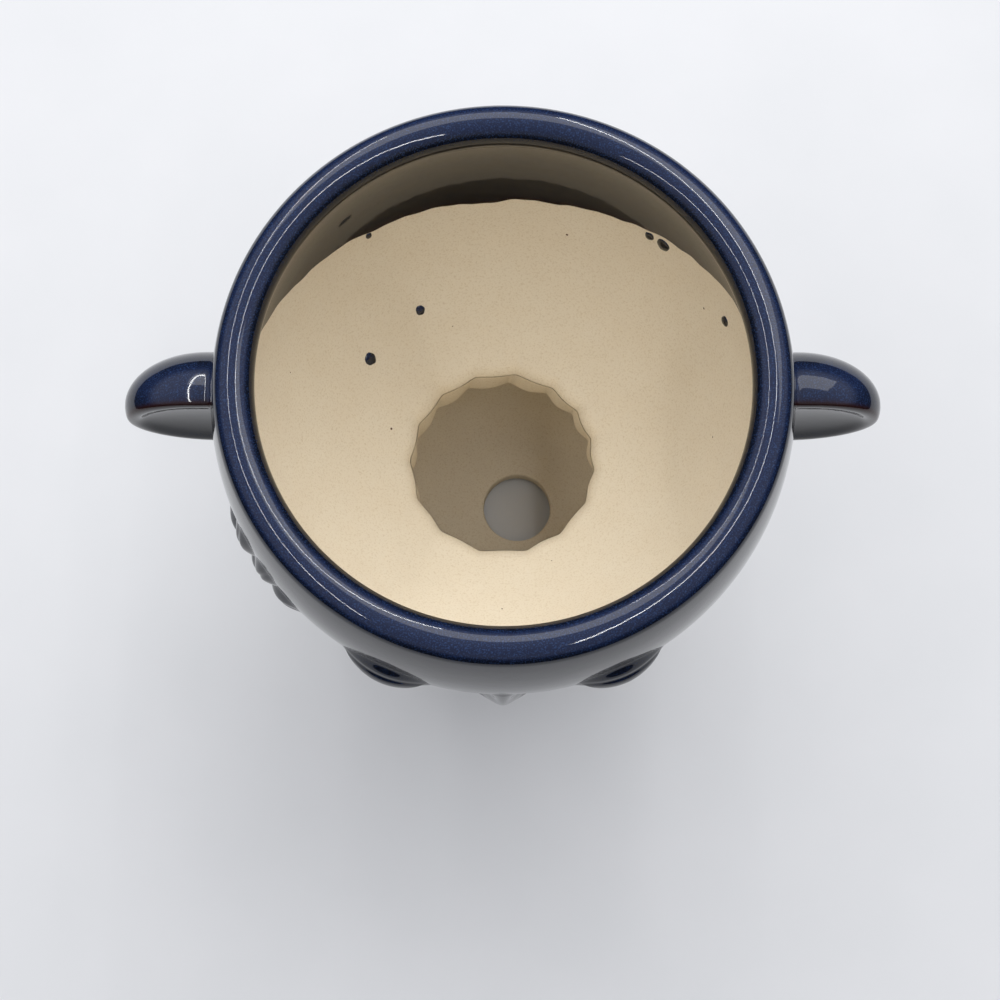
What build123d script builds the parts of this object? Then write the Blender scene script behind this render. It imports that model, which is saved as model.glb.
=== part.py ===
# Face planter of glazed stoneware: an open head on a pinched neck collar and a hollow foot.
# The rest plane is Z = 0, the head's axis is Z and the face looks along -Y.
# Left and right are as a viewer faces the planter, so left is -X.
import os
from math import acos, asin, atan2, cos, degrees, pi, radians, sin, sqrt

from build123d import *

os.makedirs("parts", exist_ok=True)

# Head: sizes over the glaze, in millimetres
head_height = 106.7
head_radius = 79.5
widest_depth = 35.5
wall = 7.0
glaze = 0.8

# Rolled rim and the overhang below it on the inside
rim_inset = 4.5
rim_tube = 5.35
lip_depth = 16.0

# Tilted line where the dipped glaze ends inside the head
dip_depth = 20.3
dip_slope = 0.46
dip_lean = -0.048

# Pinched neck collar, which stands a little proud of what it joins
collar_height = 14.0
collar_step = 0.8
flute_count = 15
collar_radius = 41.0
collar_wall = 9.7
flute_depth = 1.8
scallop_depth = 1.0
throat_step = 0.45
flare_width = 2.2
flare_break = 8.0

# Hollow foot
foot_height = 77.3
foot_radius = 55.0
foot_wall_thickness = 6.0
foot_straight = 20.0
floor_thickness = 7.0
ring_height = 3.4
ring_width = 11.0
ring_edge = 2.5
chamber_corner = 20.0
glaze_stop = 5.0
drain_radius = 12.9
drain_offset = 6.0

# Ears
ear_projection = 29.5
ear_depth = 50.0
ear_half_height = 22.0
ear_round = 24.5
ear_front = -1.4
ear_middle = 3.3
ear_half_depth = 15.8
ear_dish = 3.2
ear_ridge = 4.5
ear_bite = 12.0

# Closed eyes, one eye width wide each on a head five eyes wide
eye_share = 1 / 5
lid_half_width = 14.5
lid_half_height = 8.5
lid_swell = 6.0
lid_sink = 2.2
lash_radius = 18.0
lash_drop = 2.0
lower_lid_inset = 1.2

# Nose, with sections from the bridge down: share of its length above the base, of its width and of its height
nose_half_width = 12.5
nose_projection = 9.0
nose_sink = 3.0
nose_sections = (
    (0.86, 0.34, 0.12),
    (0.62, 0.44, 0.4),
    (0.38, 0.64, 0.72),
    (0.16, 1.0, 1.0),
    (0.03, 0.9, 0.62),
)

# Lips: two lobes above and one below
lip_sink = 1.0
lip_lobe_offset = 8.5
lip_lobe_half_length = 10.6
lip_lobe_half_height = 3.6
lip_lobe_swell = 4.2
lip_lobe_rise = 2.5
lip_lobe_turn = 7.0
lower_lip_half_length = 14.0
lower_lip_half_height = 4.2
lower_lip_swell = 4.8
lower_lip_drop = 3.2

# Applied flower
flower_azimuth = -57.5
flower_depth = 43.0
petal_count = 8
petal_ring = 13.0
petal_half_length = 6.4
petal_half_width = 4.4
petal_swell = 3.0
petal_sink = 0.9
flower_button = 5.6
flower_button_sink = 3.0

# Drops of glaze on the inner wall: azimuth from the back, then share of the furthest fall below the dip line
# and share of the largest radius
drop_rise = 0.6
drop_fall = 46.3
drop_radius = 2.2
drop_places = (
    (-30, 0.77, 0.7),
    (-55, 0.98, 0.9),
    (-35, 0.06, 0.45),
    (38, 0.09, 0.7),
    (42, 0.11, 1),
    (66, 0.35, 0.73),
)

# Finenesses of the drawing, not sizes of the planter
side_steps = 10
meeting_tries = 20

# Levels above the rest plane, with the head standing on the collar and the collar on the foot
foot_top = foot_height
neck_seat = foot_top + collar_height
total_height = neck_seat + head_height
rim_level = total_height - rim_tube
widest_level = total_height - widest_depth
lip_level = total_height - lip_depth
floor_level = ring_height + floor_thickness
ear_level = total_height - ear_depth
flower_level = total_height - flower_depth

# The lower wall is an oval that ends at the collar's seat
seat_radius = collar_radius - collar_step
lower_rise = (widest_level - neck_seat) / sqrt(1 - (seat_radius / head_radius) ** 2)

# Face levels: eyes half way down the whole head, nose a quarter of it lower, mouth a third of the rest lower
eye_level = widest_level
nose_length = lower_rise / 2
nose_level = eye_level - nose_length
mouth_level = nose_level - (lower_rise - nose_length) / 3

# Clay under the glaze, and the bare inside of the bowl
clay_radius = head_radius - glaze
clay_rise = lower_rise - glaze
rim_ring = head_radius - rim_inset - rim_tube
clay_tube = rim_tube - glaze
bowl_radius = clay_radius - wall
bowl_rise = clay_rise - wall

# Neck bore through the collar: its corners, its flats, and the start of the flare into the bowl
neck_bore = collar_radius - collar_wall
bore_tip = neck_bore - scallop_depth
flare_tip = bore_tip - throat_step
flare_start = bore_tip + flare_width


def upper_wall(radius, tube):
    """Rise of the upper wall's ellipse, and the angle at which it runs into the rim's roll."""
    turn = 0
    for _ in range(meeting_tries):
        across = rim_ring + tube * cos(turn)
        up = rim_level - widest_level + tube * sin(turn)
        turn = atan2(radius**2 - across**2, across * up)
    return up / sqrt(1 - (across / radius) ** 2), degrees(turn)


upper_rise = upper_wall(head_radius, rim_tube)[0]

# The foot's outside is an S of two equal arcs
foot_fall = foot_top - foot_straight
foot_spread = foot_radius - seat_radius
foot_arc = (foot_spread**2 + foot_fall**2) / (4 * foot_spread)
foot_turn = degrees(asin(foot_fall / 2 / foot_arc))
foot_inner_centre = foot_radius - foot_arc
foot_outer_centre = seat_radius + foot_arc


def skin_rise(level):
    """Vertical half axis of the glazed outside above or below the widest level."""
    return lower_rise if level < widest_level else upper_rise


def skin_radius(level):
    """Radius of the glazed outside of the head at a level."""
    return head_radius * sqrt(1 - ((level - widest_level) / skin_rise(level)) ** 2)


def skin_place(azimuth, level, sink=0.0, turn=0.0):
    """Place on the glazed outside: X along the wall, Y up the wall, Z out of it; azimuth 0 is the front."""
    radius = skin_radius(level)
    tilt = atan2((level - widest_level) / skin_rise(level) ** 2, radius / head_radius**2)
    side, front = sin(radians(azimuth)), -cos(radians(azimuth))
    out = Vector(side * cos(tilt), front * cos(tilt), sin(tilt))
    along = Vector(-front, side, 0)
    spot = Vector(side * radius, front * radius, level) - out * sink
    return Plane(origin=spot, x_dir=along, z_dir=out).rotated((0, 0, turn))


def bowl_place(azimuth, level):
    """Place on the bare inside of the bowl, with Z into the bowl; azimuth 0 is the back."""
    reach = bowl_radius * sqrt(1 - ((level - widest_level) / bowl_rise) ** 2)
    tilt = atan2((level - widest_level) / bowl_rise**2, reach / bowl_radius**2)
    side, back = sin(radians(azimuth)), cos(radians(azimuth))
    inward = (-side * cos(tilt), -back * cos(tilt), -sin(tilt))
    return Plane(origin=(side * reach, back * reach, level), z_dir=inward)


def dip_level(azimuth):
    """Level of the dip line on the inside; azimuth 0 is the back."""
    run = dip_slope * cos(radians(azimuth)) + dip_lean * sin(radians(azimuth))
    return total_height - dip_depth - bowl_radius * run


def wall_side(outer, low, high, bottom_level, top_level):
    """One smooth side of the head between two levels."""
    first = -asin((widest_level - bottom_level) / low)
    last = asin((top_level - widest_level) / high)
    points = []
    for i in range(side_steps + 1):
        turn = first + (last - first) * i / side_steps
        rise = low if turn < 0 else high
        points.append((outer * cos(turn), widest_level + rise * sin(turn)))
    ends = ((-outer * sin(first), low * cos(first)), (-outer * sin(last), high * cos(last)))
    return Spline(*points, tangents=ends)


def outer_side(grow):
    """The outside of the wall, grown by the thickness of a coat, up to the rim's roll."""
    high, turn = upper_wall(clay_radius + grow, clay_tube + grow)
    top_level = rim_level + (clay_tube + grow) * sin(radians(turn))
    return wall_side(clay_radius + grow, clay_rise + grow, high, neck_seat, top_level), turn


def head_section(grow):
    """Half section of the thrown head, grown all round by the thickness of a coat."""
    inner, low, high = bowl_radius - grow, bowl_rise - grow, upper_rise - glaze - wall - grow
    tube = clay_tube + grow
    crease = Vector(inner * sqrt(1 - ((lip_level - widest_level) / high) ** 2), lip_level)
    reach = crease - Vector(rim_ring, rim_level)
    roll_end = degrees(atan2(reach.Y, reach.X) - acos(tube / reach.length)) + 360
    bowl_end = widest_level - low * sqrt(1 - ((flare_tip - throat_step) / inner) ** 2)
    with BuildSketch(Plane.XZ) as section:
        with BuildLine():
            outside, roll_start = outer_side(grow)
            roll = CenterArc((rim_ring, rim_level), tube, roll_start, roll_end - roll_start)
            inside = wall_side(inner, low, high, bowl_end, lip_level)
            Line(roll @ 1, inside @ 1)
            Polyline(inside @ 0, ((inside @ 0).X, neck_seat), outside @ 0)
        make_face()
    return section.sketch


def head_filled(grow):
    """The head as a solid lump, its outside grown from the clay's outside."""
    with BuildPart() as lump:
        with BuildSketch(Plane.XZ):
            with BuildLine():
                outside = outer_side(grow)[0]
                top, bottom = outside @ 1, outside @ 0
                Polyline(top, (0, top.Y), (0, bottom.Y), bottom)
            make_face()
        revolve(axis=Axis.Z)
    return lump.part


def fluted_ring(corner, middle):
    """Outline with a corner between each pair of flutes and one arc for each flute."""
    step = 2 * pi / flute_count
    with BuildLine() as outline:
        for i in range(flute_count):
            ThreePointArc(
                (corner * cos(i * step), corner * sin(i * step)),
                (middle * cos((i + 0.5) * step), middle * sin((i + 0.5) * step)),
                (corner * cos((i + 1) * step), corner * sin((i + 1) * step)),
            )
    return outline.line


def fluted_column(corner, middle, low, high):
    """Solid column with a fluted side between two levels."""
    with BuildPart() as column:
        with BuildSketch(Plane.XY.offset(low)):
            with BuildLine():
                add(fluted_ring(corner, middle))
            make_face()
        extrude(amount=high - low)
    return column.part


def foot_filled(grow):
    """The foot as a solid lump, its outside grown by the thickness of a coat."""
    with BuildPart() as lump:
        with BuildSketch(Plane.XZ):
            with BuildLine():
                upper = CenterArc((foot_outer_centre, foot_top), foot_arc - grow, 180, foot_turn)
                lower = CenterArc((foot_inner_centre, foot_straight), foot_arc + grow, foot_turn, -foot_turn)
                side = Line(lower @ 1, (foot_radius + grow, 0))
                Polyline(side @ 1, (0, 0), (0, foot_top), upper @ 0)
            make_face()
        revolve(axis=Axis.Z)
    return lump.part


def pebble(long, wide, thick):
    """Oval pebble of clay by its half length, half width and half thickness."""
    with BuildPart() as lump:
        Sphere(1)
        scale(by=(long, wide, thick))
    return lump.part


def finish(name, piece):
    """Label a finished piece and write its file."""
    piece.part.label = name
    export_step(piece.part, f"parts/{name}.step")


# Shared cutters: the glazed head that applied pieces are seated on, and the flared neck bore
head_core = head_filled(glaze)
flare_angle = acos(flare_start / bowl_radius)
flare_level = widest_level - bowl_rise * sin(flare_angle)
bowl_slope = atan2(bowl_rise * cos(flare_angle), bowl_radius * sin(flare_angle))
flare_slope = bowl_slope + radians(flare_break)
flare_radius = (flare_start - flare_tip) / (1 - sin(flare_slope))
throat_level = flare_level - flare_radius * cos(flare_slope)

with BuildPart() as neck_cutter:
    with BuildSketch(Plane.XZ):
        with BuildLine():
            turn = 90 - degrees(flare_slope)
            flare = CenterArc((flare_tip + flare_radius, throat_level), flare_radius, 180, -turn)
            Polyline(flare @ 1, (0, flare_level), (0, throat_level), flare @ 0)
        make_face()
    revolve(axis=Axis.Z)
    add(fluted_column(neck_bore, bore_tip, foot_top, flare_level))

# Thrown head with its rolled rim
with BuildPart() as head_wall:
    add(head_section(0))
    revolve(axis=Axis.Z)
    add(neck_cutter.part, mode=Mode.SUBTRACT)
finish("head_wall", head_wall)

# Glaze on the head: the outside, the rim, and inside down to the tilted dip line
with BuildPart() as bare_bowl:
    add(head_filled(-wall / 2))
    dip_plane = Plane(origin=(0, 0, total_height - dip_depth), z_dir=(dip_lean, dip_slope, 1))
    split(bisect_by=dip_plane, keep=Keep.BOTTOM)
    split(bisect_by=Plane.XY.offset(lip_level), keep=Keep.BOTTOM)

with BuildPart() as head_glaze:
    add(head_section(glaze))
    revolve(axis=Axis.Z)
    add(bare_bowl.part, mode=Mode.SUBTRACT)
    add(neck_cutter.part, mode=Mode.SUBTRACT)
    add(head_wall.part, mode=Mode.SUBTRACT)
finish("head_glaze", head_glaze)

# Pinched collar between the head and the foot
collar_flute = collar_radius - flute_depth
with BuildPart() as neck_collar:
    add(fluted_column(collar_radius, collar_flute, foot_top, neck_seat))
    add(neck_cutter.part, mode=Mode.SUBTRACT)
finish("neck_collar", neck_collar)

with BuildPart() as collar_glaze:
    add(fluted_column(collar_radius + glaze, collar_flute + glaze, foot_top, neck_seat))
    add(fluted_column(collar_radius, collar_flute, foot_top, neck_seat), mode=Mode.SUBTRACT)
finish("collar_glaze", collar_glaze)

# Hollow foot with a rounded chamber, a drain hole and a foot ring
chamber_arc = foot_arc - foot_wall_thickness
corner_level = floor_level + chamber_corner
corner_rise = corner_level - foot_straight
corner_reach = sqrt((chamber_arc - chamber_corner) ** 2 - corner_rise**2)
corner_turn = degrees(atan2(corner_rise, corner_reach))
corner_centre = foot_inner_centre + corner_reach

with BuildPart() as foot_wall:
    add(foot_filled(0))
    with BuildSketch(Plane.XZ):
        with BuildLine():
            upper = CenterArc((foot_outer_centre, foot_top), foot_arc + foot_wall_thickness, 180, foot_turn)
            CenterArc((foot_inner_centre, foot_straight), chamber_arc, foot_turn, corner_turn - foot_turn)
            corner = CenterArc((corner_centre, corner_level), chamber_corner, corner_turn, -90 - corner_turn)
            Polyline(corner @ 1, (0, floor_level), (0, foot_top), upper @ 0)
        make_face()
    revolve(axis=Axis.Z, mode=Mode.SUBTRACT)
    with Locations((0, 0, ring_height / 2)):
        Cylinder(foot_radius - ring_width, ring_height, mode=Mode.SUBTRACT)
    with Locations((drain_offset, 0, floor_level / 2)):
        Cylinder(drain_radius, floor_level, mode=Mode.SUBTRACT)
    chamfer(foot_wall.edges().group_by(Axis.Z)[0].sort_by(SortBy.LENGTH)[-1], ring_edge)
finish("foot_wall", foot_wall)

with BuildPart() as foot_glaze:
    add(foot_filled(glaze))
    split(bisect_by=Plane.XY.offset(glaze_stop), keep=Keep.TOP)
    add(foot_filled(0), mode=Mode.SUBTRACT)
finish("foot_glaze", foot_glaze)

# Ears: an oval stub with a domed outer end, cut flat and dished in front
ear_centre = head_radius + ear_projection - ear_round
ear_root = head_radius - ear_bite
ear_stub = ear_centre - ear_root

with BuildPart() as ear_blank:
    with BuildSketch(Plane.XZ):
        with BuildLine():
            dome = EllipticalCenterArc((ear_stub, 0), ear_round, ear_half_height, 0, arc_size=90)
            Polyline(dome @ 1, (0, ear_half_height), (0, 0), dome @ 0)
        make_face()
    revolve(axis=Axis.X)
    scale(by=(1, ear_half_depth / ear_half_height, 1))

with BuildPart() as right_ear:
    with Locations((ear_root, ear_middle, ear_level)):
        add(ear_blank.part)
    with Locations((ear_centre, ear_front - ear_half_depth, ear_level)):
        Box(2 * ear_centre, 2 * ear_half_depth, 2 * ear_centre, mode=Mode.SUBTRACT)
    with Locations((ear_centre, ear_front, ear_level)):
        add(
            pebble(ear_round - ear_ridge, ear_dish, ear_half_height - ear_ridge),
            mode=Mode.SUBTRACT,
        )
    add(head_core, mode=Mode.SUBTRACT)
finish("right_ear", right_ear)

with BuildPart() as left_ear:
    add(mirror(right_ear.part, about=Plane.YZ, mode=Mode.PRIVATE))
finish("left_ear", left_ear)

# Closed lids: one swelling parted along the lash line
eye_spread = degrees(asin(2 * eye_share))
for side, azimuth in (("left", -eye_spread), ("right", eye_spread)):
    eye_place = skin_place(azimuth, eye_level, lid_sink)
    with BuildPart() as lash_cutter:
        with Locations(eye_place):
            with Locations((0, lash_radius - lash_drop, 0)):
                Cylinder(lash_radius, 2 * lid_half_width)
    with BuildPart() as upper_lid:
        with Locations(eye_place):
            add(pebble(lid_half_width, lid_half_height, lid_swell))
        add(lash_cutter.part, mode=Mode.INTERSECT)
        add(head_core, mode=Mode.SUBTRACT)
    finish(f"{side}_upper_lid", upper_lid)
    with BuildPart() as lower_lid:
        with Locations(eye_place):
            add(
                pebble(
                    lid_half_width - lower_lid_inset,
                    lid_half_height - lower_lid_inset,
                    lid_swell - lower_lid_inset,
                )
            )
        add(lash_cutter.part, mode=Mode.SUBTRACT)
        add(head_core, mode=Mode.SUBTRACT)
    finish(f"{side}_lower_lid", lower_lid)

# Nose: oval sections from the bridge down to the base
with BuildPart() as nose:
    for rise, breadth, reach in nose_sections:
        level = nose_level + rise * nose_length
        with BuildSketch(Plane.XY.offset(level)):
            with Locations((0, nose_sink - skin_radius(level))):
                Ellipse(breadth * nose_half_width, nose_sink + reach * nose_projection)
    loft()
    add(head_core, mode=Mode.SUBTRACT)
finish("nose", nose)

# Lips
lobe_azimuth = degrees(asin(lip_lobe_offset / skin_radius(mouth_level)))
with BuildPart() as upper_lip:
    for side in (-1, 1):
        lobe_level = mouth_level + lip_lobe_rise
        with Locations(skin_place(side * lobe_azimuth, lobe_level, lip_sink, -side * lip_lobe_turn)):
            add(pebble(lip_lobe_half_length, lip_lobe_half_height, lip_lobe_swell))
    add(head_core, mode=Mode.SUBTRACT)
finish("upper_lip", upper_lip)

with BuildPart() as lower_lip:
    with Locations(skin_place(0, mouth_level - lower_lip_drop, lip_sink)):
        add(pebble(lower_lip_half_length, lower_lip_half_height, lower_lip_swell))
    add(upper_lip.part, mode=Mode.SUBTRACT)
    add(head_core, mode=Mode.SUBTRACT)
finish("lower_lip", lower_lip)

# Flower of eight petals round a button
for i in range(petal_count):
    angle = 360 * (i + 0.5) / petal_count
    across = petal_ring * cos(radians(angle))
    level = flower_level + petal_ring * sin(radians(angle))
    azimuth = flower_azimuth + degrees(across / skin_radius(level))
    with BuildPart() as petal:
        with Locations(skin_place(azimuth, level, petal_sink, angle)):
            add(pebble(petal_half_length, petal_half_width, petal_swell))
        add(head_core, mode=Mode.SUBTRACT)
    finish(f"petal_{i + 1}", petal)

with BuildPart() as flower_centre:
    with Locations(skin_place(flower_azimuth, flower_level, flower_button_sink)):
        Sphere(flower_button)
    add(head_core, mode=Mode.SUBTRACT)
finish("flower_centre", flower_centre)

# Drops of glaze that fell on the bare inner wall
with BuildPart() as glaze_spots:
    for azimuth, fall, size in drop_places:
        with Locations(bowl_place(azimuth, dip_level(azimuth) - fall * drop_fall)):
            add(pebble(size * drop_radius, size * drop_radius, drop_rise))
    add(head_wall.part, mode=Mode.SUBTRACT)
finish("glaze_spots", glaze_spots)
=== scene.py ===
from math import acos, asin, atan2, cos, exp, pi, radians, sin, sqrt

import bmesh
import bpy
from mathutils import Matrix, Vector, noise


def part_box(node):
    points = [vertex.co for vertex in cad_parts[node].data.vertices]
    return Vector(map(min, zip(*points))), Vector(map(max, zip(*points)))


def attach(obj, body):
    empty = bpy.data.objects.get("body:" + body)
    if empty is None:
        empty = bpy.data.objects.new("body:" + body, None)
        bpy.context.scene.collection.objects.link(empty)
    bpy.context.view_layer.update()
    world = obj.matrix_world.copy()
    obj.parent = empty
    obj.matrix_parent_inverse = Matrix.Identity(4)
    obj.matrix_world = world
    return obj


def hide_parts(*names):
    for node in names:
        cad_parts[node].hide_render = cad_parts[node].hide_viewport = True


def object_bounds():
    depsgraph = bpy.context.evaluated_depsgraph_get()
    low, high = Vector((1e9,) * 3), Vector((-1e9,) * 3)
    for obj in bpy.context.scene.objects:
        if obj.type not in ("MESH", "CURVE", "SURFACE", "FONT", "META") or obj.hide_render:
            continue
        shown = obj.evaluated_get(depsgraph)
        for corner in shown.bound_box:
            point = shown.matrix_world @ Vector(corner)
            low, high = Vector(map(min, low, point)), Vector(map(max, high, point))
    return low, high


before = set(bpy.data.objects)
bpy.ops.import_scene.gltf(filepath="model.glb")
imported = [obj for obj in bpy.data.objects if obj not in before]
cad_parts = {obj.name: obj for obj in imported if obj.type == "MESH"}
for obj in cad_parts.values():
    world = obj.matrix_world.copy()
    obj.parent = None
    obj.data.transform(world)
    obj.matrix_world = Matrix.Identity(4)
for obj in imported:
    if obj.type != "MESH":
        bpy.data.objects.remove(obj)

cad_low, cad_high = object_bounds()

# The thrown head
# A bowl of buff stoneware, thrown on a wheel, open at the top with a rolled rim and with a neck hole below.
# Inside it stays bare: fired clay, matt and cream, with fine grain and a few iron specks.
glaze_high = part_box("head_glaze")[1]
clay_low, clay_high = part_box("head_wall")
head_top = glaze_high.z
head_radius = glaze_high.x
neck_seat = clay_low.z
coat = head_top - clay_high.z
widest_depth, lip_depth = 0.0355, 0.016
widest_level = head_top - widest_depth
seat_radius = 0.0402
lower_rise = (widest_level - neck_seat) / sqrt(1 - (seat_radius / head_radius) ** 2)
wall = 0.007
rim_tube = 0.00535
rim_ring = 0.06965
rim_level = head_top - rim_tube
lip_level = head_top - lip_depth
turns, outside_steps, roll_steps = 360, 60, 48


def meet_roll(radius, tube):
    """Rise of the upper wall's oval, and the angle at which it runs into the rim's roll."""
    turn = 0
    for _ in range(20):
        across = rim_ring + tube * cos(turn)
        up = rim_level - widest_level + tube * sin(turn)
        turn = atan2(radius**2 - across**2, across * up)
    return up / sqrt(1 - (across / radius) ** 2), turn


upper_rise = meet_roll(head_radius, rim_tube)[0]


def wall_line(radius, low, high, bottom, top, steps):
    """Points up one side of the wall between two levels, an oval below the widest level and another above."""
    first, last = -asin((widest_level - bottom) / low), asin((top - widest_level) / high)
    points = []
    for i in range(steps + 1):
        turn = first + (last - first) * i / steps
        points.append((radius * cos(turn), widest_level + (low if turn < 0 else high) * sin(turn)))
    return points


def arc_line(centre, radius, start, end, steps):
    """Points along an arc, by its centre, radius and two angles."""
    points = []
    for i in range(steps + 1):
        turn = start + (end - start) * i / steps
        points.append((centre[0] + radius * cos(turn), centre[1] + radius * sin(turn)))
    return points


def rim_line(grow):
    """The outside, the roll and the crease below it, on the clay's surface grown by a coat."""
    radius, low, tube = head_radius - coat + grow, lower_rise - coat + grow, rim_tube - coat + grow
    high, start = meet_roll(radius, tube)
    outside = wall_line(radius, low, high, neck_seat, rim_level + tube * sin(start), outside_steps)
    inner, inner_high = radius - wall - 2 * grow, upper_rise - coat - wall - grow
    crease = inner * sqrt(1 - ((lip_level - widest_level) / inner_high) ** 2)
    reach = Vector((crease - rim_ring, lip_level - rim_level))
    end = atan2(reach.y, reach.x) - acos(tube / reach.length) + 2 * pi
    roll = arc_line((rim_ring, rim_level), tube, start, end, roll_steps)
    return outside + roll[1:] + [(crease, lip_level)]


def lathe(profile, closed=True):
    """Spins a half section of (radius, level) points round the pot's axis."""
    bm = bmesh.new()
    line = [bm.verts.new((radius, 0, level)) for radius, level in profile]
    pairs = list(zip(line, line[1:])) + ([(line[-1], line[0])] if closed else [])
    edges = [bm.edges.new(pair) for pair in pairs]
    bmesh.ops.spin(
        bm, geom=line + edges, cent=(0, 0, 0), axis=(0, 0, 1), dvec=(0, 0, 0),
        angle=2 * pi, steps=turns, use_merge=True,
    )
    bmesh.ops.recalc_face_normals(bm, faces=bm.faces)
    return bm


def make_piece(name, bm, material, sharp=50):
    """Makes a finished bmesh a smooth-shaded object at the origin, creased past an angle in degrees."""
    mesh = bpy.data.meshes.new(name)
    bm.to_mesh(mesh)
    bm.free()
    mesh.shade_smooth()
    mesh.set_sharp_from_angle(angle=radians(sharp))
    mesh.materials.append(material)
    piece = bpy.data.objects.new(name, mesh)
    bpy.context.scene.collection.objects.link(piece)
    return piece


def colour(code):
    """An sRGB hex colour as the linear colour that a shader takes."""
    parts = [int(code[i : i + 2], 16) / 255 for i in (1, 3, 5)]
    return [part / 12.92 if part <= 0.04045 else ((part + 0.055) / 1.055) ** 2.4 for part in parts] + [1]


def add_node(tree, kind, settings=(), values=(), links=()):
    """Adds a node with its settings, its sockets' values and the sockets that feed it."""
    node = tree.nodes.new(kind)
    for name, value in dict(settings).items():
        setattr(node, name, value)
    for name, value in dict(values).items():
        node.inputs[name].default_value = value
    for name, socket in dict(links).items():
        tree.links.new(socket, node.inputs[name])
    return node


# Buff stoneware, bisque fired and left bare: matt, cream to the eye, with fine grain and a few iron specks
bare_clay = bpy.data.materials.new("bisque_fired_buff_stoneware")
bare_clay.use_nodes = True
tree = bare_clay.node_tree
tree.nodes.clear()
place = add_node(tree, "ShaderNodeTexCoord").outputs["Object"]
cloud_size, grain_size, speck_spacing, speck_share = 0.014, 0.0006, 0.0040, 0.07
cloud = add_node(tree, "ShaderNodeTexNoise", {}, {"Scale": 1 / cloud_size, "Detail": 3}, {"Vector": place})
tint = add_node(
    tree, "ShaderNodeMix", {"data_type": "RGBA"}, {6: colour("#EEE1C9"), 7: colour("#F4EAD5")},
    {0: cloud.outputs["Fac"]},
)
grain = add_node(tree, "ShaderNodeTexNoise", {}, {"Scale": 1 / grain_size, "Detail": 2}, {"Vector": place})
grain_dark = add_node(
    tree, "ShaderNodeMapRange", {}, {"From Min": 0.5, "From Max": 0.75, "To Max": 0.5},
    {"Value": grain.outputs["Fac"]},
)
sandy = add_node(
    tree, "ShaderNodeMix", {"data_type": "RGBA"}, {7: colour("#D3C09E")},
    {0: grain_dark.outputs["Result"], 6: tint.outputs[2]},
)
cells = add_node(tree, "ShaderNodeTexVoronoi", {}, {"Scale": 1 / speck_spacing}, {"Vector": place})
picked = add_node(tree, "ShaderNodeSeparateColor", {}, {}, {"Color": cells.outputs["Color"]})
speck_reach = add_node(
    tree, "ShaderNodeMapRange", {}, {"From Min": 1 - speck_share, "From Max": 1, "To Min": 0, "To Max": 0.13},
    {"Value": picked.outputs["Red"]},
)
speck = add_node(
    tree, "ShaderNodeMath", {"operation": "LESS_THAN"}, {},
    {0: cells.outputs["Distance"], 1: speck_reach.outputs["Result"]},
)
speckled = add_node(
    tree, "ShaderNodeMix", {"data_type": "RGBA"}, {7: colour("#6B4E33")},
    {0: speck.outputs[0], 6: sandy.outputs[2]},
)
tooth = add_node(
    tree, "ShaderNodeBump", {}, {"Strength": 0.25, "Distance": 0.00015}, {"Height": grain.outputs["Fac"]}
)
clay_shader = add_node(
    tree, "ShaderNodeBsdfPrincipled", {}, {"Roughness": 0.88, "IOR": 1.5, "Specular IOR Level": 0.3},
    {"Base Color": speckled.outputs[2], "Normal": tooth.outputs["Normal"]},
)
add_node(tree, "ShaderNodeOutputMaterial", {}, {}, {"Surface": clay_shader.outputs["BSDF"]})

# The neck hole is pinched: soft corners that point outwards, seen at these angles, with flats between them
corner_angles = [radians(a) for a in (26, 52, 75, 104, 131, 156, 181, 205, 229, 253, 279, 304, 325, 345, 365)]
corner_softness, corner_match, corner_gap = 0.15, 1e-9, 0.4
neck_middle, pinch_depth = 0.0308, 0.0010
pinch_twist, pinch_growth = radians(5), 0.8
flare_radius = 0.0072
flare_start = 0.0330
pinch_fade = 0.042
collar_height = 0.014
bowl_steps, flare_steps = 120, 12


def pinch(angle):
    """How far the pinched neck stands out beyond its flats, from 0 to 1, at an angle."""
    angle = angle % (2 * pi)
    angle += 2 * pi if angle < corner_angles[0] else 0
    spots = corner_angles + [corner_angles[0] + 2 * pi]
    before = max(a for a in spots if a <= angle + corner_match)
    after = min([a for a in spots if a > angle + corner_match], default=spots[-1] + corner_gap)
    flat = sin(pi * (angle - before) / (after - before))
    return (1 - sqrt(flat**2 + corner_softness**2)) / (1 - corner_softness)


def flute(bm, fade, outer=0.0, outer_depth=0.0):
    """Pushes the vertices near the neck hole out at the pinches, which twist and deepen downwards."""
    for v in bm.verts:
        radius = Vector(v.co.xy).length
        near = min(max((fade - radius) / (fade - neck_middle), 0), 1)
        if near > 0:
            down = min(max((neck_seat - v.co.z) / collar_height, 0), 1)
            depth = pinch_depth * (1 + pinch_growth * down)
            if outer:
                share = min(max((radius - neck_middle) / (outer - neck_middle), 0), 1)
                depth += (outer_depth - depth) * share
            push = depth * pinch(atan2(-v.co.y, v.co.x) + pinch_twist * down) * near * near * (3 - 2 * near)
            v.co.x, v.co.y = v.co.x * (1 + push / radius), v.co.y * (1 + push / radius)


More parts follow.
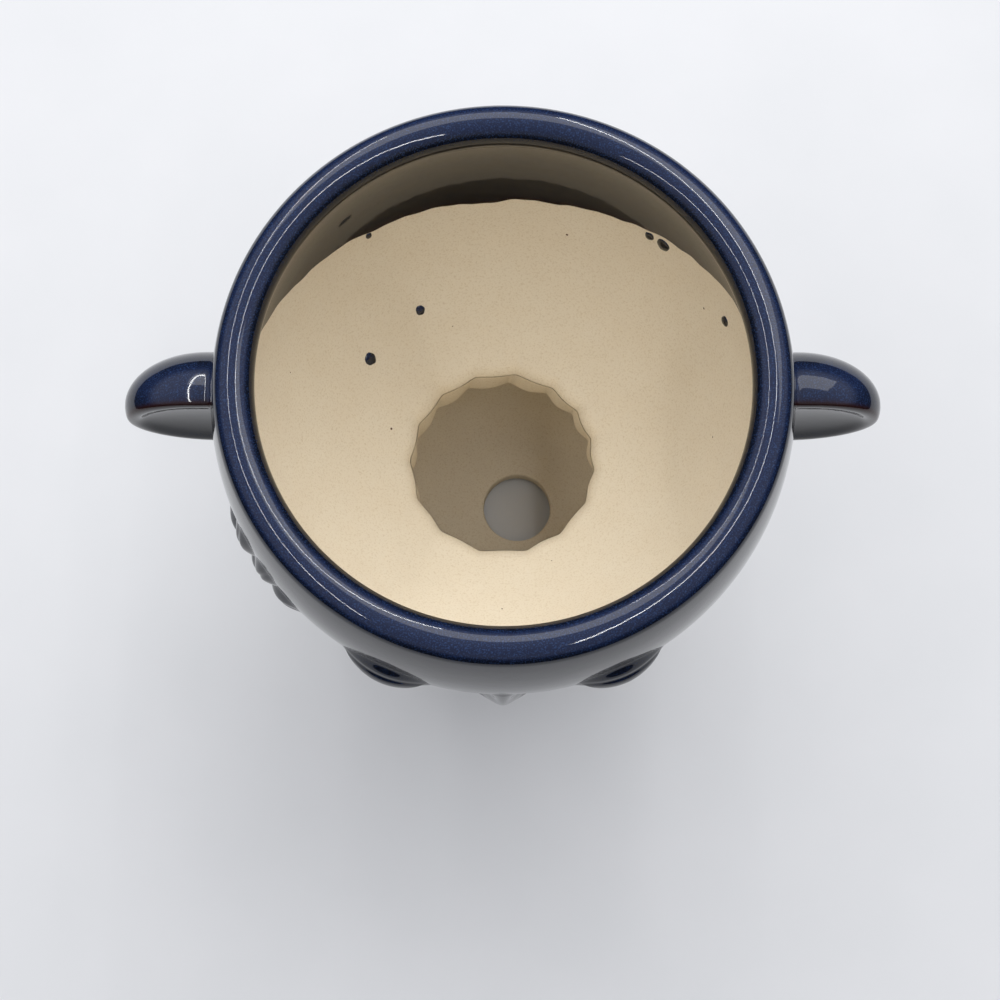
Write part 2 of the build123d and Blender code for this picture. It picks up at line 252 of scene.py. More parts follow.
bowl_radius, bowl_low, bowl_high = (
    head_radius - coat - wall, lower_rise - coat - wall, upper_rise - coat - wall
)
flare_angle = acos(flare_start / bowl_radius)
flare_level = widest_level - bowl_low * sin(flare_angle)
flare_slope = atan2(bowl_low * cos(flare_angle), bowl_radius * sin(flare_angle))
flare_centre = (flare_start + flare_radius * sin(flare_slope), flare_level - flare_radius * cos(flare_slope))
throat = arc_line(flare_centre, flare_radius, pi, pi / 2 + flare_slope, flare_steps)
bowl = wall_line(bowl_radius, bowl_low, bowl_high, flare_level, lip_level, bowl_steps)
head = lathe(rim_line(0) + bowl[::-1][1:-1] + throat[::-1] + [(throat[0][0], neck_seat)])
flute(head, pinch_fade)
thrown_head = make_piece("thrown_head", head, bare_clay)
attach(thrown_head, "root")
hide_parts("head_wall")

# The neck collar
# A ring of the same clay, pinched round with finger and thumb, which joins the head to the foot.
# Its soft flutes show on both sides, and its inside is bare clay.
collar_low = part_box("neck_collar")[0]
foot_top = collar_low.z
collar_outer, collar_flute = 0.0388, 0.0018
collar_swell = 0.0012
edge_round = 0.0014
collar_steps, edge_steps = 14, 6


def collar_side(outer):
    """Outside of the collar, a little swollen between its two joints."""
    height = neck_seat - foot_top
    points = []
    for i in range(collar_steps + 1):
        swell = collar_swell * sin(pi * i / collar_steps)
        points.append((outer + swell, foot_top + height * i / collar_steps))
    return points


collar_inside = arc_line(
    (throat[0][0] + edge_round, foot_top + edge_round), edge_round, pi, 3 * pi / 2, edge_steps
)
collar = lathe(collar_side(collar_outer) + [(throat[0][0], neck_seat)] + collar_inside)
flute(collar, 1.0, collar_outer, collar_flute)
pinched_collar = make_piece("pinched_collar", collar, bare_clay)
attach(pinched_collar, "root")
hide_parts("neck_collar")

# The hollow foot
# Thrown upside down as a bell with a floor, trimmed with a ring to stand on, and joined under the collar.
# The drain hole is cut through the floor off centre, and the chamber and the ring are bare clay.
foot_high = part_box("foot_wall")[1]
foot_radius = foot_high.x
foot_wall = 0.006
foot_straight = 0.020
floor_level, ring_height, ring_width, ring_edge = 0.0104, 0.0034, 0.011, 0.0025
chamber_corner = 0.020
drain_radius, drain_offset, drain_edge = 0.0129, 0.006, 0.0008
floor_join = 0.024
foot_steps, shoulder_steps, corner_steps, hole_steps = 20, 12, 24, 4
fall, spread = foot_top - foot_straight, foot_radius - seat_radius
foot_arc = (spread**2 + fall**2) / (4 * spread)
foot_turn = asin(fall / 2 / foot_arc)
lower_centre = (foot_radius - foot_arc, foot_straight)
upper_centre = (seat_radius + foot_arc, foot_top)


def foot_side(grow, bottom):
    """Outside of the foot from the collar down, on the clay grown by a coat."""
    upper = arc_line(upper_centre, foot_arc - grow, pi, pi + foot_turn, foot_steps)
    lower = arc_line(lower_centre, foot_arc + grow, foot_turn, 0, foot_steps)
    return upper + lower[1:] + [(foot_radius + grow, bottom)]


corner_rise = floor_level + chamber_corner - foot_straight
corner_reach = sqrt((foot_arc - foot_wall - chamber_corner) ** 2 - corner_rise**2)
corner_turn = atan2(corner_rise, corner_reach)
corner_centre = (lower_centre[0] + corner_reach, floor_level + chamber_corner)
chamber = (
    arc_line(upper_centre, foot_arc + foot_wall, pi, pi + foot_turn, foot_steps)
    + arc_line(lower_centre, foot_arc - foot_wall, foot_turn, corner_turn, shoulder_steps)[1:]
    + arc_line(corner_centre, chamber_corner, corner_turn, -pi / 2, corner_steps)[1:]
)
ring_inner = foot_radius - ring_width
section = (
    [(floor_join, floor_level)] + chamber[::-1] + foot_side(0, ring_edge)
    + [(foot_radius - ring_edge, 0), (ring_inner + ring_edge / 4, 0), (ring_inner, ring_edge / 4),
       (ring_inner, ring_height), (floor_join, ring_height)]
)
foot = lathe(section, closed=False)
hole_line = (
    arc_line((drain_radius + drain_edge, floor_level - drain_edge), drain_edge, pi / 2, pi, hole_steps)
    + arc_line((drain_radius + drain_edge, ring_height + drain_edge), drain_edge, pi, 3 * pi / 2, hole_steps)
)
hole = lathe(hole_line, closed=False)
bmesh.ops.translate(hole, verts=hole.verts, vec=(drain_offset, 0, 0))
hole_mesh = bpy.data.meshes.new("drain_hole_edge")
hole.to_mesh(hole_mesh)
hole.free()
foot.from_mesh(hole_mesh)
bpy.data.meshes.remove(hole_mesh)
for level in (floor_level, ring_height):
    loops = [e for e in foot.edges if e.is_boundary and abs(e.verts[0].co.z - level) < 1e-6]
    bmesh.ops.bridge_loops(foot, edges=loops)
bmesh.ops.recalc_face_normals(foot, faces=foot.faces)
hollow_foot = make_piece("hollow_foot", foot, bare_clay, 40)
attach(hollow_foot, "root")
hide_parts("foot_wall")

# The glaze coats
# Cobalt stoneware glaze, dipped and fired to a glass: near black on steep faces, and blue with fine crystals
# on faces that look up, partly where it pools and partly painted light from above; brown where it runs thin.
# It covers the outside and the rim, and ends inside at the tilted dip line.


def glaze_lie_and_top_light(bm, thin=None):
    """Notes for the glaze how level it lies at each vertex, which also carries painted light from above, and
    where an edge draws it thin.
    """
    pool_and_top_light_layer = bm.verts.layers.float.new("pool_and_top_light")
    thin_layer = bm.verts.layers.float.new("thin")
    bm.normal_update()
    for v in bm.verts:
        # Faces that look up get more blue: partly glaze pooling, partly painted light from above.
        v[pool_and_top_light_layer] = max(v.normal.z, 0)
        v[thin_layer] = thin(v) if thin else 0


blue_glaze = bpy.data.materials.new("dipped_cobalt_stoneware_glaze")
blue_glaze.use_nodes = True
tree = blue_glaze.node_tree
tree.nodes.clear()
place = add_node(tree, "ShaderNodeTexCoord").outputs["Object"]
pool_and_top_light = add_node(tree, "ShaderNodeAttribute", {"attribute_name": "pool_and_top_light"}).outputs["Fac"]
thin = add_node(tree, "ShaderNodeAttribute", {"attribute_name": "thin"}).outputs["Fac"]
drift_size, crystal_size, ripple_size = 0.009, 0.0004, 0.007
drift = add_node(tree, "ShaderNodeTexNoise", {}, {"Scale": 1 / drift_size, "Detail": 4}, {"Vector": place})
crystal = add_node(
    tree, "ShaderNodeTexNoise", {}, {"Scale": 1 / crystal_size, "Detail": 2}, {"Vector": place}
)
# Painted light: faces that look up turn blue and take the crystal flecks, steep faces stay painted near
# black.
drifted = add_node(
    tree, "ShaderNodeMath", {"operation": "MULTIPLY_ADD"}, {1: 0.35}, {0: drift.outputs["Fac"], 2: pool_and_top_light}
)
body = add_node(tree, "ShaderNodeValToRGB", {}, {}, {"Fac": drifted.outputs[0]})
ramp = body.color_ramp
ramp.elements[0].position, ramp.elements[0].color = 0.45, colour("#06080F")
ramp.elements[1].position, ramp.elements[1].color = 1.1, colour("#131E3B")
middle = ramp.elements.new(0.8)
middle.color = colour("#0A0F1C")
fleck = add_node(
    tree, "ShaderNodeMapRange", {}, {"From Min": 0.5, "From Max": 0.74, "To Max": 0.4},
    {"Value": crystal.outputs["Fac"]},
)
fleck_here = add_node(
    tree, "ShaderNodeMath", {"operation": "MULTIPLY"}, {}, {0: fleck.outputs["Result"], 1: pool_and_top_light}
)
flecked = add_node(
    tree, "ShaderNodeMix", {"data_type": "RGBA"}, {7: colour("#3F5F96")},
    {0: fleck_here.outputs[0], 6: body.outputs["Color"]},
)
broken = add_node(
    tree, "ShaderNodeMix", {"data_type": "RGBA"}, {7: colour("#2B120D")}, {0: thin, 6: flecked.outputs[2]}
)
ripple = add_node(tree, "ShaderNodeTexNoise", {}, {"Scale": 1 / ripple_size, "Detail": 2}, {"Vector": place})
skin_ripple = add_node(
    tree, "ShaderNodeBump", {}, {"Strength": 0.12, "Distance": 0.0004}, {"Height": ripple.outputs["Fac"]}
)
glaze_shader = add_node(
    tree, "ShaderNodeBsdfPrincipled", {}, {"Roughness": 0.06, "IOR": 1.5},
    {"Base Color": broken.outputs[2], "Normal": skin_ripple.outputs["Normal"]},
)
add_node(tree, "ShaderNodeOutputMaterial", {}, {}, {"Surface": glaze_shader.outputs["BSDF"]})

dip_depth, dip_slope, dip_lean = 0.0203, 0.46, -0.048
least_band = 0.0010
wave_height, long_wave, short_wave, short_share = 0.0016, 5, 13, 0.5
band_reserve, band_steps = 0.01, 30


def dip_line(x, y):
    """Level at which the glaze ends inside the head, in the direction of a point."""
    spot = Vector((x, y, 0)).normalized()
    smooth = dip_depth + bowl_radius * (dip_slope * spot.y + dip_lean * spot.x)
    wave = noise.noise(spot * long_wave) + short_share * noise.noise(spot * short_wave)
    return min(head_top - smooth + wave_height * wave, lip_level - least_band)


def bowl_at(level, grow):
    """Radius of the inside at a level, on the clay's surface or on a coat over it."""
    rise = (bowl_low if level < widest_level else bowl_high) - grow
    return (bowl_radius - grow) * sqrt(1 - ((level - widest_level) / rise) ** 2)


end_reach, end_share = 0.0008, 0.7


def end_thin(v):
    """The glaze is thin where it ends inside."""
    if v.co.z >= lip_level:
        return 0
    return end_share * exp(-(((v.co.z - dip_line(v.co.x, v.co.y)) / end_reach) ** 2))


band_floor = widest_level - band_reserve
outer_skin, under_skin = rim_line(coat), rim_line(0)
band_levels = [lip_level + (band_floor - lip_level) * i / band_steps for i in range(1, band_steps + 1)]
outer_band = [(bowl_at(level, coat), level) for level in band_levels]
under_band = [(bowl_at(level, 0), level) for level in band_levels]
dipped = lathe(outer_skin + outer_band + under_band[::-1] + under_skin[::-1])
for v in dipped.verts:
    radius = Vector(v.co.xy).length
    if v.co.z < lip_level - 1e-7 and radius < bowl_at(v.co.z, 0) + wall / 2:
        grow = coat if radius < bowl_at(v.co.z, 0) - coat / 2 else 0
        down = (lip_level - v.co.z) / (lip_level - band_floor)
        level = lip_level + (dip_line(v.co.x, v.co.y) - lip_level) * down
        swell = bowl_at(level, grow) / radius
        v.co = Vector((v.co.x * swell, v.co.y * swell, level))
glaze_lie_and_top_light(dipped, end_thin)
glazed_head = make_piece("glazed_head_and_rim", dipped, blue_glaze)
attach(glazed_head, "root")
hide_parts("head_glaze")

collar_coat = lathe(collar_side(collar_outer + coat) + collar_side(collar_outer)[::-1])
flute(collar_coat, 1.0, collar_outer, collar_flute)
glaze_lie_and_top_light(collar_coat)
glazed_collar = make_piece("glazed_collar", collar_coat, blue_glaze)
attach(glazed_collar, "root")
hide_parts("collar_glaze")

glaze_stop = 0.005
foot_coat = lathe(foot_side(coat, glaze_stop) + foot_side(0, glaze_stop)[::-1])
glaze_lie_and_top_light(foot_coat)
glazed_foot = make_piece("glazed_foot", foot_coat, blue_glaze)
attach(glazed_foot, "root")
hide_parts("foot_glaze")

# Stray drops of glaze
# Drops that splashed on the bare inside while the pot was dipped, and fired where they fell.
# Each is a low glassy bead with a brown edge.
drop_rise, drop_fall, drop_radius, drop_stretch = 0.0006, 0.0463, 0.0022, 1.15
drop_places = (
    (-30, 0.77, 0.7), (-55, 0.98, 0.9), (-35, 0.06, 0.45), (38, 0.09, 0.7), (42, 0.11, 1), (66, 0.35, 0.73)
)
drop_wobble = 0.22
drops = bmesh.new()
for azimuth, fall, size in drop_places:
    side, back = sin(radians(azimuth)), cos(radians(azimuth))
    level = head_top - dip_depth - bowl_radius * (dip_slope * back + dip_lean * side) - fall * drop_fall
    reach = bowl_at(level, 0)
    tilt = atan2((level - widest_level) / bowl_low**2, reach / bowl_radius**2)
    out = Vector((side * cos(tilt), back * cos(tilt), sin(tilt)))
    turn_in = out.to_track_quat("-Z", "Y").to_matrix().to_4x4()
    bead = bmesh.ops.create_uvsphere(drops, u_segments=48, v_segments=16, radius=1)["verts"]
    for v in bead:
        spread = 1 + drop_wobble * noise.noise(Vector((v.co.x, v.co.y, azimuth)))
        v.co.x, v.co.y = v.co.x * spread, v.co.y * spread
    wide = size * drop_radius
    bmesh.ops.scale(drops, verts=bead, vec=(wide, wide * drop_stretch, drop_rise))
    seat = Matrix.Translation((side * reach, back * reach, level)) @ turn_in
    bmesh.ops.transform(drops, verts=bead, matrix=seat)
glaze_lie_and_top_light(drops)
glaze_drops = make_piece("glaze_drops", drops, blue_glaze)
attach(glaze_drops, "root")
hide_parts("glaze_spots")

# The ears
# Two pads of clay, domed behind and flat and dished in front, luted to the sides with a smoothed coil.
# The glaze breaks to brown on their front ridge.
ear_reach = cad_high.x
ear_drop = 0.050
ear_level = head_top - ear_drop
ear_half_height, ear_half_depth, ear_round = 0.022, 0.0158, 0.0245
ear_front, ear_middle, ear_dish, ear_ridge = -0.0014, 0.0033, 0.0032, 0.0045
root_inset, root_depth = 0.012, 0.003
ear_root = head_radius - root_inset
ear_centre = ear_reach - ear_round
join_radius = 0.0028
face_reach = 0.001
thin_share, thin_reach, thin_behind = 0.965, 0.0011, 0.0004
voxel = 0.0005
dome_steps, pad_turns, ear_smoothing = 24, 96, 12


def skin_rise(level):
    """Vertical half axis of the glazed outside above or below the widest level."""
    return lower_rise if level < widest_level else upper_rise


def skin_point(azimuth, level, height):
    """Point at a height over the glazed outside; the azimuth is in radians from the front."""
    radius = head_radius * sqrt(1 - ((level - widest_level) / skin_rise(level)) ** 2)
    tilt = atan2((level - widest_level) / skin_rise(level) ** 2, radius / head_radius**2)
    side, front = sin(azimuth), -cos(azimuth)
    out = Vector((side * cos(tilt), front * cos(tilt), sin(tilt)))
    return Vector((side * radius, front * radius, level)) + out * height


def skin_gap(point):
    """About how far a point lies outside the glazed head, and the direction straight out of it there."""
    rise = skin_rise(point.z)
    radius = Vector(point.xy).length
    scaled = Vector((radius / head_radius, (point.z - widest_level) / rise))
    slope = Vector((point.x / head_radius**2, point.y / head_radius**2, (point.z - widest_level) / rise**2))
    return (scaled.length - 1) * scaled.length / slope.length, slope.normalized()


def ear_thin(v):
    """The glaze is thin along the ear's front ridge."""
    across = max(abs(v.co.x) - ear_centre, 0) / ear_round
    rim = sqrt(across**2 + ((v.co.z - ear_level) / ear_half_height) ** 2)
    off_edge = (rim - thin_share) * ear_half_height / thin_reach
    off_face = (v.co.y - ear_front - thin_behind) / thin_reach
    return exp(-(off_edge**2) - off_face**2)


pad = bmesh.new()
dome = []
for i in range(dome_steps + 1):
    turn = pi / 2 * i / dome_steps
    dome.append((ear_centre + ear_round * sin(turn), ear_half_height * cos(turn)))
outline = [(ear_root, 0), (ear_root, ear_half_height)] + dome[:-1] + [(ear_reach, 0)]
line = [pad.verts.new((x, 0, z)) for x, z in outline]
edges = [pad.edges.new(pair) for pair in zip(line, line[1:])]
bmesh.ops.spin(
    pad, geom=line + edges, cent=(0, 0, 0), axis=(1, 0, 0), dvec=(0, 0, 0),
    angle=2 * pi, steps=pad_turns, use_merge=True,
)
bmesh.ops.remove_doubles(pad, verts=pad.verts, dist=1e-6)
bmesh.ops.scale(pad, verts=pad.verts, vec=(1, ear_half_depth / ear_half_height, 1))
bmesh.ops.translate(pad, verts=pad.verts, vec=(0, ear_middle, ear_level))
for v in pad.verts:
    if v.co.x < ear_root + 1e-6:
        v.co.x = sqrt(Vector(skin_point(0, v.co.z, 0).xy).length ** 2 - v.co.y**2) - root_depth
cut = bmesh.ops.bisect_plane(
    pad, geom=pad.verts[:] + pad.edges[:] + pad.faces[:], plane_co=(0, ear_front, 0), plane_no=(0, -1, 0),
    clear_outer=True,
)
bmesh.ops.holes_fill(pad, edges=[e for e in pad.edges if e.is_boundary])
bmesh.ops.triangulate(pad, faces=[f for f in pad.faces if len(f.verts) > 4])
bmesh.ops.recalc_face_normals(pad, faces=pad.faces)
pad_mesh = bpy.data.meshes.new("ear_pad")
pad.to_mesh(pad_mesh)
pad.free()
pad_object = bpy.data.objects.new("ear_pad", pad_mesh)
bpy.context.scene.collection.objects.link(pad_object)
remesh = pad_object.modifiers.new("even_skin", "REMESH")
remesh.mode, remesh.voxel_size = "VOXEL", voxel
even = bpy.data.meshes.new_from_object(pad_object.evaluated_get(bpy.context.evaluated_depsgraph_get()))
bpy.data.objects.remove(pad_object)
for side, node in ((1, "right_ear"), (-1, "left_ear")):
    ear = bmesh.new()
    ear.from_mesh(even)
    for v in ear.verts:
        if v.co.y < ear_front + face_reach:
            across = (v.co.x - ear_centre) / (ear_round - ear_ridge)
            rim = across**2 + ((v.co.z - ear_level) / (ear_half_height - ear_ridge)) ** 2
            v.co.y += ear_dish * sqrt(max(1 - rim, 0))
    for _ in range(ear_smoothing):
        bmesh.ops.smooth_vert(
            ear, verts=ear.verts, factor=0.5, use_axis_x=True, use_axis_y=True, use_axis_z=True
        )
    ear.normal_update()
    moves = []
    for v in ear.verts:
        gap, out = skin_gap(v.co)
        near = min(max(1 - gap / join_radius, 0), 1)
        along = v.normal - out * v.normal.dot(out)
        moves.append(along * join_radius * (1 - sqrt(1 - near**2)))
    for v, move in zip(ear.verts, moves):
        v.co += move
    if side < 0:
        bmesh.ops.scale(ear, verts=ear.verts, vec=(-1, 1, 1))
        bmesh.ops.reverse_faces(ear, faces=ear.faces)
    glaze_lie_and_top_light(ear, ear_thin)
    applied_ear = make_piece("applied_" + node, ear, blue_glaze)
    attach(applied_ear, "root")
    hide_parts(node)
bpy.data.meshes.remove(even)

# The closed eyes
# Each is a low almond of clay in two lids, pressed on and smoothed, with the upper lid lapping the lower one.
# The face is a plain calm one, on the usual proportions of a head.
eye_level = widest_level
eye_spread = asin(2 / 5)
lid_long, lid_high, lid_rise = 0.0145, 0.0085, 0.0040
lash_long, lash_bow, lash_drop = 0.0130, 0.018, 0.002
lid_step, lid_roll = 0.0012, 0.0011
crease_level, crease_bow, crease_depth, crease_width = 0.0042, 7.0, 0.00035, 0.0008
mound_fullness, lower_inset, lower_sink = 1.3, 0.0008, 0.0010
skin_sink = 0.00005
patch_depth = 0.0006
patch_rings, patch_steps = 40, 128


def clay_patch(shape, azimuth, level, turn=0.0):
    """Closed low relief on the head; shape turns a place in a unit disc into across, up and height."""
    bm = bmesh.new()
    line = [bm.verts.new((i / patch_rings, 0, 0)) for i in range(patch_rings + 1)]
    edges = [bm.edges.new(pair) for pair in zip(line, line[1:])]
    bmesh.ops.spin(
        bm, geom=line + edges, cent=(0, 0, 0), axis=(0, 0, 1), dvec=(0, 0, 0),
        angle=2 * pi, steps=patch_steps, use_merge=True,
    )
    bmesh.ops.remove_doubles(bm, verts=bm.verts, dist=1e-6)
    under = bmesh.ops.extrude_face_region(bm, geom=bm.faces[:])["geom"]
    bmesh.ops.translate(bm, verts=[g for g in under if isinstance(g, bmesh.types.BMVert)], vec=(0, 0, -1))
    mid_radius = Vector(skin_point(0, level, 0).xy).length
    tilt = atan2((level - widest_level) / skin_rise(level) ** 2, mid_radius / head_radius**2)
    for v in bm.verts:
        across, up, height = shape(v.co.x, v.co.y)
        height = -patch_depth if v.co.z < -0.5 else height - skin_sink
        side = across * cos(turn) - up * sin(turn)
        rise = level + (across * sin(turn) + up * cos(turn)) * cos(tilt)
        radius = Vector(skin_point(0, rise, 0).xy).length
        v.co = skin_point(azimuth + side / radius, rise, height)
    bmesh.ops.recalc_face_normals(bm, faces=bm.faces)
    return bm


def eye_mound(across, up, long, high, rise):
    """Height of the almond, level with the wall at its edge."""
    inside = max(1 - (across / long) ** 2 - (up / high) ** 2, 0)
    return rise * inside**mound_fullness


def upper_lid(x, y):
    """The upper lid, from the lash line up."""
    across = lash_long * x
    bottom = lash_bow - sqrt(lash_bow**2 - across**2) - lash_drop
    top = lid_high * sqrt(1 - (across / lid_long) ** 2)
    half = sqrt(max(1 - x * x, 1e-9))
    up = bottom + (top - bottom) * (min(max(y / half, -1), 1) + 1) / 2
    roll = max(1 - (up - bottom) / lid_roll, 0)
    crease = exp(-(((up - crease_level + crease_bow * across**2) / crease_width) ** 2))
    height = eye_mound(across, up, lid_long, lid_high, lid_rise)
    height -= lid_step * (1 - sqrt(max(1 - roll**2, 0))) + crease_depth * crease * (1 - x * x)
    return across, up, max(height, 0)


def lower_lid(x, y):
    """The lower lid, which passes under the upper one."""
    long, high = lid_long - lower_inset, lid_high - lower_inset
    across, up = long * x, high * y
    return across, up, eye_mound(across, up, long, high, lid_rise - lower_sink)


for side, direction in (("left", -1), ("right", 1)):
    for half, shape in (("upper", upper_lid), ("lower", lower_lid)):
        lid = clay_patch(shape, direction * eye_spread, eye_level)
        glaze_lie_and_top_light(lid)
        node = f"{side}_{half}_lid"
        closed_lid = make_piece("closed_" + node, lid, blue_glaze)
        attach(closed_lid, "root")
        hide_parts(node)

# The nose
# A wedge of clay with a narrow bridge, a round tip and two soft wings, blended into the wall.
nose_length = lower_rise / 2
nose_base = eye_level - nose_length
nose_rise, nose_half_width, bridge_half_width = 0.0090, 0.0125, 0.0042
tip_share, base_share, widest_share, widening_reach = 0.16, 0.22, 0.1, 0.28
ridge_fullness, side_steepness = 1.3, 2.2
wing_side, wing_share, wing_rise, wing_radius = 0.0080, 0.09, 0.0026, 0.0036
patch_half_width, patch_half_height, patch_middle = 0.0155, 0.0235, 0.0172
nose_fade = 0.35


def nose_shape(x, y):
    """Height of the nose over the wall."""
    across, up = patch_half_width * x, patch_middle + patch_half_height * y
    share = up / nose_length
    if share > tip_share:
        ridge = max(1 - (share - tip_share) / (1 - tip_share), 0) ** ridge_fullness
    else:
        ridge = cos(pi / 2 * min((tip_share - share) / base_share, 1)) ** 2
    widening = exp(-(((share - widest_share) / widening_reach) ** 2))
    half = bridge_half_width + (nose_half_width - bridge_half_width) * widening
    body = nose_rise * ridge * exp(-side_steepness * (across / half) ** 2)
    wing_gap = ((abs(across) - wing_side) ** 2 + (up - wing_share * nose_length) ** 2) / wing_radius**2
    inside = min(max((1 - x * x - y * y) / nose_fade, 0), 1)
    fade = inside * inside * (3 - 2 * inside)
    return across, up - patch_middle, (body + wing_rise * exp(-wing_gap)) * fade


nose = clay_patch(nose_shape, 0, nose_base + patch_middle)
glaze_lie_and_top_light(nose)
applied_nose = make_piece("applied_nose", nose, blue_glaze)
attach(applied_nose, "root")
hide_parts("nose")

# The lips
# Two small rolls of clay laid on and smoothed, closed in a calm line.
mouth_level = nose_base - (lower_rise - nose_length) / 3
lip_half_long, upper_lip_high, lower_lip_high = 0.0185, 0.0055, 0.0070
lip_rise, mouth_bow, cupid_dip, cupid_width = 0.0034, 0.0010, 0.0011, 0.16
groove_share, groove_width, lip_roundness = 0.12, 0.12, 1.2
upper_fullness, lower_fullness, lower_share, lower_swell = 0.9, 0.8, 0.92, 1.15


def mouth_line(x):
    """Height of the closed mouth's line above its middle level."""
    return mouth_bow * (x * x - 0.5)


def upper_lip(x, y):
    """The upper lip, with its bow."""
    half = sqrt(max(1 - x * x, 1e-9))
    up_share = (min(max(y / half, -1), 1) + 1) / 2
    top = upper_lip_high * (1 - x * x) - cupid_dip * exp(-((x / cupid_width) ** 2))
    groove = groove_share * exp(-((x / groove_width) ** 2))
    fullness = (1 - x * x) ** upper_fullness * (1 - groove)
    height = lip_rise * fullness * sin(pi * min(0.18 + 0.82 * up_share, 1)) ** lip_roundness
    return lip_half_long * x, mouth_line(x) + top * up_share, height


def lower_lip(x, y):
    """The lower lip, a single fuller roll."""
    half = sqrt(max(1 - x * x, 1e-9))
    down_share = 1 - (min(max(y / half, -1), 1) + 1) / 2
    fullness = (1 - x * x) ** lower_fullness
    bottom = lower_lip_high * fullness
    height = lip_rise * lower_swell * fullness * sin(pi * min(0.16 + 0.84 * down_share, 1)) ** lip_roundness
    return lip_half_long * lower_share * x, mouth_line(x) - bottom * down_share, height


for shape, node in ((upper_lip, "upper_lip"), (lower_lip, "lower_lip")):
    lip = clay_patch(shape, 0, mouth_level)
    glaze_lie_and_top_light(lip)
    applied_lip = make_piece("applied_" + node, lip, blue_glaze)
    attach(applied_lip, "root")
    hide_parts(node)

# The flower
# Petals of clay pressed on one by one round a button, over the temple on the viewer's left.
flower_azimuth, flower_drop = radians(-57.5), 0.043
flower_level = head_top - flower_drop
petal_count, petal_ring = 8, 0.013
petal_long, petal_wide, petal_rise, petal_fullness = 0.0078, 0.0055, 0.0023, 1.5
petal_flare, petal_vein, vein_width = 0.15, 0.0004, 0.16
button_radius, button_rise, button_fullness = 0.0062, 0.0029, 1.4


def petal_shape(x, y):
    """A petal, swelling with a soft vein down its length."""
    inside = max(1 - x * x - y * y, 0)
    vein = petal_vein * exp(-((y / vein_width) ** 2)) * inside
    return petal_long * x, petal_wide * y * (1 + petal_flare * x), petal_rise * inside**petal_fullness - vein


def button_shape(x, y):
    """The round button in the middle."""
    return button_radius * x, button_radius * y, button_rise * max(1 - x * x - y * y, 0) ** button_fullness


for i in range(petal_count):
    turn = 2 * pi * (i + 0.5) / petal_count
    level = flower_level + petal_ring * sin(turn)
    radius = Vector(skin_point(0, level, 0).xy).length
    petal = clay_patch(petal_shape, flower_azimuth + petal_ring * cos(turn) / radius, level, turn)
    glaze_lie_and_top_light(petal)
    pressed_petal = make_piece(f"pressed_petal_{i + 1}", petal, blue_glaze)
    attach(pressed_petal, "root")
    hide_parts(f"petal_{i + 1}")

button = clay_patch(button_shape, flower_azimuth, flower_level)
glaze_lie_and_top_light(button)
flower_button = make_piece("flower_button", button, blue_glaze)
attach(flower_button, "root")
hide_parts("flower_centre")

# The table
# A plain pale board, which the pot stands on and which shows in the glaze.
table_half, smudge_size = 0.65, 0.05
board = bmesh.new()
bmesh.ops.create_grid(board, x_segments=1, y_segments=1, size=table_half)
pale_board = bpy.data.materials.new("matt_painted_board")
pale_board.use_nodes = True
tree = pale_board.node_tree
tree.nodes.clear()
place = add_node(tree, "ShaderNodeTexCoord").outputs["Object"]
smudge = add_node(tree, "ShaderNodeTexNoise", {}, {"Scale": 1 / smudge_size, "Detail": 4}, {"Vector": place})
board_tint = add_node(
    tree, "ShaderNodeMix", {"data_type": "RGBA"}, {6: colour("#DFE1E3"), 7: colour("#E7E8EA")},
    {0: smudge.outputs["Fac"]},
)
board_shader = add_node(
    tree, "ShaderNodeBsdfPrincipled", {}, {"Roughness": 0.6}, {"Base Color": board_tint.outputs[2]}
)
add_node(tree, "ShaderNodeOutputMaterial", {}, {}, {"Surface": board_shader.outputs["BSDF"]})
table = make_piece("table", board, pale_board)

# The light
# Two long strip lights overhead that run away from the viewer, a wide soft panel high at the back, and a
# room with a pale ceiling, darker at the horizon and a little darker on the viewer's side.
world = bpy.data.worlds.new("dim_room")
bpy.context.scene.world = world
world.use_nodes = True
tree = world.node_tree
tree.nodes.clear()
look = add_node(tree, "ShaderNodeTexCoord").outputs["Generated"]
split_look = add_node(tree, "ShaderNodeSeparateXYZ", {}, {}, {"Vector": look})
ceiling = add_node(tree, "ShaderNodeValToRGB", {}, {}, {"Fac": split_look.outputs["Z"]})
ceiling.color_ramp.elements[0].color = (0.05, 0.05, 0.055, 1)
ceiling.color_ramp.elements[1].color = (0.55, 0.56, 0.59, 1)
for height, grey in ((0.2, 0.10), (0.45, 0.60), (0.7, 0.62), (0.9, 0.56)):
    ceiling.color_ramp.elements.new(height).color = (grey, grey, grey * 1.05, 1)
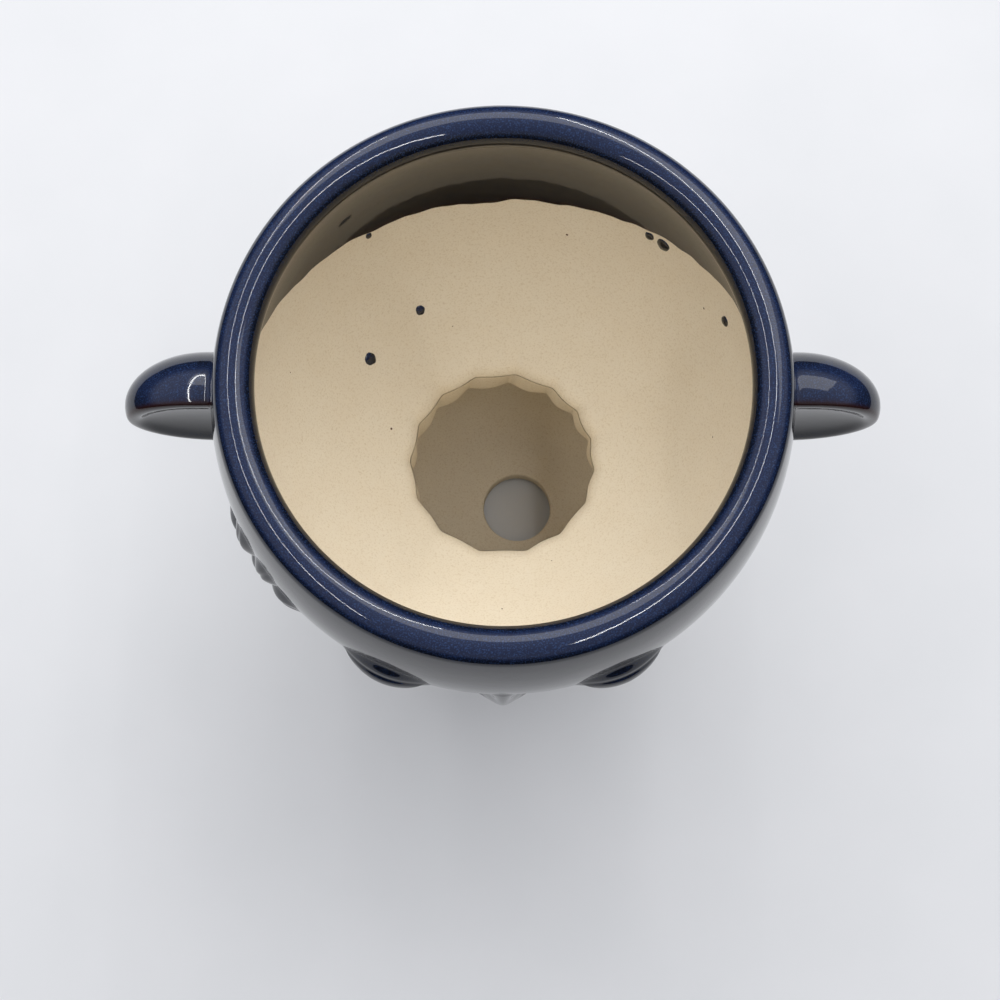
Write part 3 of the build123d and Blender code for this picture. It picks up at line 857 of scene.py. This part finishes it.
backward = add_node(
    tree, "ShaderNodeMapRange", {"clamp": True},
    {"From Min": -0.6, "From Max": 0.3, "To Min": 0.6, "To Max": 1.15}, {"Value": split_look.outputs["Y"]},
)
room = add_node(
    tree, "ShaderNodeBackground", {}, {},
    {"Color": ceiling.outputs["Color"], "Strength": backward.outputs["Result"]},
)
add_node(tree, "ShaderNodeOutputWorld", {}, {}, {"Surface": room.outputs["Background"]})


def add_lamp(name, place, aim, wide, long, radiance):
    """A rectangular soft lamp that looks at a point; its power follows from how bright its face is."""
    lamp = bpy.data.lights.new(name, "AREA")
    lamp.shape, lamp.size, lamp.size_y = "RECTANGLE", wide, long
    lamp.energy = radiance * pi * wide * long
    stand = bpy.data.objects.new(name, lamp)
    stand.location = place
    stand.rotation_mode = "QUATERNION"
    stand.rotation_quaternion = (Vector(aim) - Vector(place)).to_track_quat("-Z", "Y")
    stand.visible_camera = False
    bpy.context.scene.collection.objects.link(stand)


panel_place, panel_aim = (0.35, 1.2, 1.7), (0, 0, 0.1)
panel_wide, panel_long, panel_radiance = 2.4, 1.3, 1.9
add_lamp("back_panel", panel_place, panel_aim, panel_wide, panel_long, panel_radiance)
strip_back, strip_height, strip_wide, strip_long, strip_radiance = 0.3, 0.804, 0.008, 1.4, 55
for name, across in (("right_strip", 0.153), ("left_strip", -0.326)):
    over, under = (across, strip_back, strip_height), (across, strip_back, 0)
    add_lamp(name, over, under, strip_wide, strip_long, strip_radiance)

# The camera
# Held over the front of the pot and looking down into it, as in the photograph.
camera = bpy.data.cameras.new("camera")
photo_width, focal_length_px = 1000, 1386
camera.sensor_width = 36
camera.lens = camera.sensor_width * focal_length_px / photo_width
tilt, yaw = radians(10.97), radians(0.10)
camera_rise = 0.33982
camera_place = (-0.0015, -0.0992, head_top + camera_rise)
view = bpy.data.objects.new("camera", camera)
turned = Matrix.Rotation(-yaw, 4, "Y") @ Matrix.Rotation(tilt, 4, "X")
view.matrix_world = Matrix.Translation(camera_place) @ turned
bpy.context.scene.collection.objects.link(view)
bpy.context.scene.camera = view
bpy.context.scene.view_settings.view_transform = "Standard"
